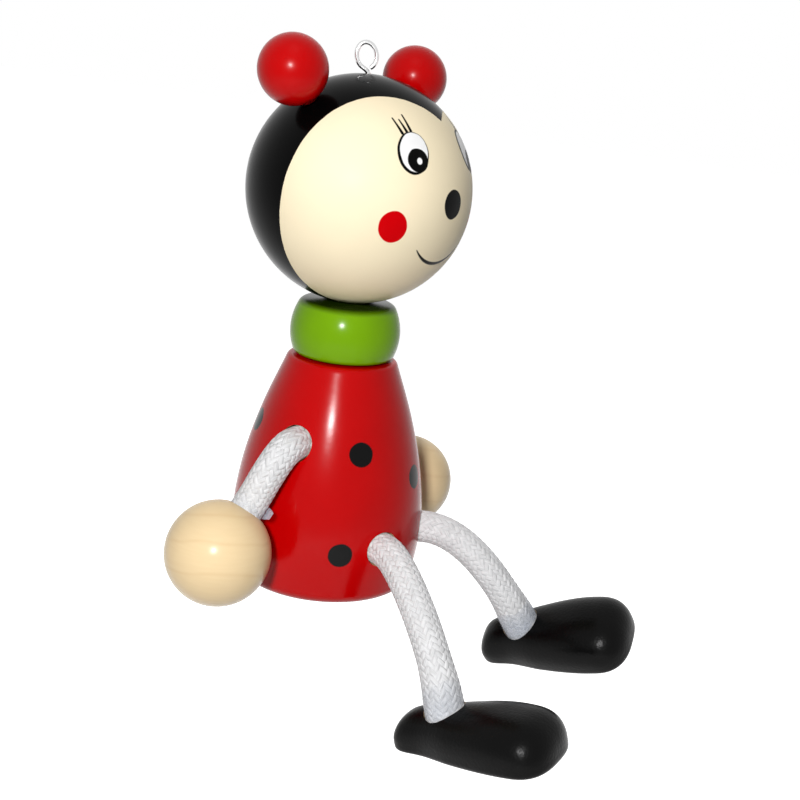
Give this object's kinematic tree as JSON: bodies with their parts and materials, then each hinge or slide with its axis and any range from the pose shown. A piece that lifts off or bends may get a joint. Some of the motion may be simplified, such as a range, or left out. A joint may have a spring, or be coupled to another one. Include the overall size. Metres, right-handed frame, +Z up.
{
  "type": "hanging wooden doll",
  "caption": "Hanging wooden ladybird doll: turned body, ball head with ear balls on a collar, screw eye on top, and bending cord limbs that carry wooden hands and shoes.",
  "frame": {"origin": "on the body's turning axis, at the height of the inside top of the screw eye, where the doll hangs", "axes": "+Z up along the body's turning axis; the body faces -Y, so the doll's right side is at -X"},
  "size_m": [0.0933, 0.097, 0.1454],
  "materials": {
    "red_lacquer": "gloss red lacquer, black spots on the body",
    "green_lacquer": "gloss green lacquer",
    "painted_head": "gloss cream lacquer with a black hood and a painted face",
    "clear_wood": "clear satin lacquer on pale wood",
    "bare_wood": "bare",
    "black_lacquer": "gloss black lacquer",
    "white_cord": "soft braided cord",
    "clear_tape": "thin translucent tape",
    "bright_wire": "bright plated wire"
  },
  "bodies": {
    "torso": {"torso": "red_lacquer", "neck_dowel": "bare_wood", "collar": "green_lacquer", "head": "painted_head", "right_ear": "red_lacquer", "left_ear": "red_lacquer", "right_ear_dowel": "bare_wood", "left_ear_dowel": "bare_wood", "screw_eye": "bright_wire"},
    "right_upper_arm": {"right_upper_arm_cord": "white_cord"},
    "right_forearm": {"right_lower_arm_cord": "white_cord", "right_arm_tape": "clear_tape", "right_hand": "clear_wood"},
    "right_thigh": {"right_upper_leg_cord": "white_cord"},
    "right_foot": {"right_lower_leg_cord": "white_cord", "right_leg_tape": "clear_tape", "right_shoe": "black_lacquer"},
    "left_upper_arm": {"left_upper_arm_cord": "white_cord"},
    "left_forearm": {"left_lower_arm_cord": "white_cord", "left_arm_tape": "clear_tape", "left_hand": "clear_wood"},
    "left_thigh": {"left_upper_leg_cord": "white_cord"},
    "left_foot": {"left_lower_leg_cord": "white_cord", "left_leg_tape": "clear_tape", "left_shoe": "black_lacquer"}
  },
  "joints": [
    {"name": "right_shoulder", "type": "hinge", "parent": "torso", "child": "right_upper_arm", "pos_m": [-0.01855, 0, -0.08575], "axis": [0, 1, 0], "range_deg": [-1.5, 75], "stiffness_Nm_per_rad": 0.004, "springref_deg": 8.43, "deforming": ["right_upper_arm_cord"]},
    {"name": "right_elbow", "type": "hinge", "parent": "right_upper_arm", "child": "right_forearm", "pos_m": [-0.02463, 0.00179, -0.09059], "axis": [-1, 0, 0], "range_deg": [-40, 40], "stiffness_Nm_per_rad": 0.004, "springref_deg": -2.74, "deforming": ["right_lower_arm_cord"]},
    {"name": "right_hip", "type": "hinge", "parent": "torso", "child": "right_thigh", "pos_m": [-0.00973, -0.01995, -0.10784], "axis": [-0.8988, 0.4384, 0], "range_deg": [-25, 45], "stiffness_Nm_per_rad": 0.006, "springref_deg": 10.95, "deforming": ["right_upper_leg_cord"]},
    {"name": "right_knee", "type": "hinge", "parent": "right_thigh", "child": "right_foot", "pos_m": [-0.01841, -0.03358, -0.115], "axis": [-0.8988, 0.4384, 0], "range_deg": [-30, 45], "stiffness_Nm_per_rad": 0.006, "springref_deg": 6.13, "deforming": ["right_lower_leg_cord"]},
    {"name": "left_shoulder", "type": "hinge", "parent": "torso", "child": "left_upper_arm", "pos_m": [0.01855, 0, -0.08575], "axis": [0, -1, 0], "range_deg": [-1.5, 75], "stiffness_Nm_per_rad": 0.004, "springref_deg": 8.7, "deforming": ["left_upper_arm_cord"]},
    {"name": "left_elbow", "type": "hinge", "parent": "left_upper_arm", "child": "left_forearm", "pos_m": [0.02537, -0.0001, -0.08949], "axis": [-1, 0, 0], "range_deg": [-40, 40], "stiffness_Nm_per_rad": 0.004, "springref_deg": 1.7, "deforming": ["left_lower_arm_cord"]},
    {"name": "left_hip", "type": "hinge", "parent": "torso", "child": "left_thigh", "pos_m": [0.00973, -0.01995, -0.10784], "axis": [-0.8988, -0.4384, 0], "range_deg": [-25, 45], "stiffness_Nm_per_rad": 0.006, "springref_deg": 10.39, "deforming": ["left_upper_leg_cord"]},
    {"name": "left_knee", "type": "hinge", "parent": "left_thigh", "child": "left_foot", "pos_m": [0.01411, -0.03426, -0.11399], "axis": [-0.8988, -0.4384, 0], "range_deg": [-30, 45], "stiffness_Nm_per_rad": 0.006, "springref_deg": 6.02, "deforming": ["left_lower_leg_cord"]}
  ]
}
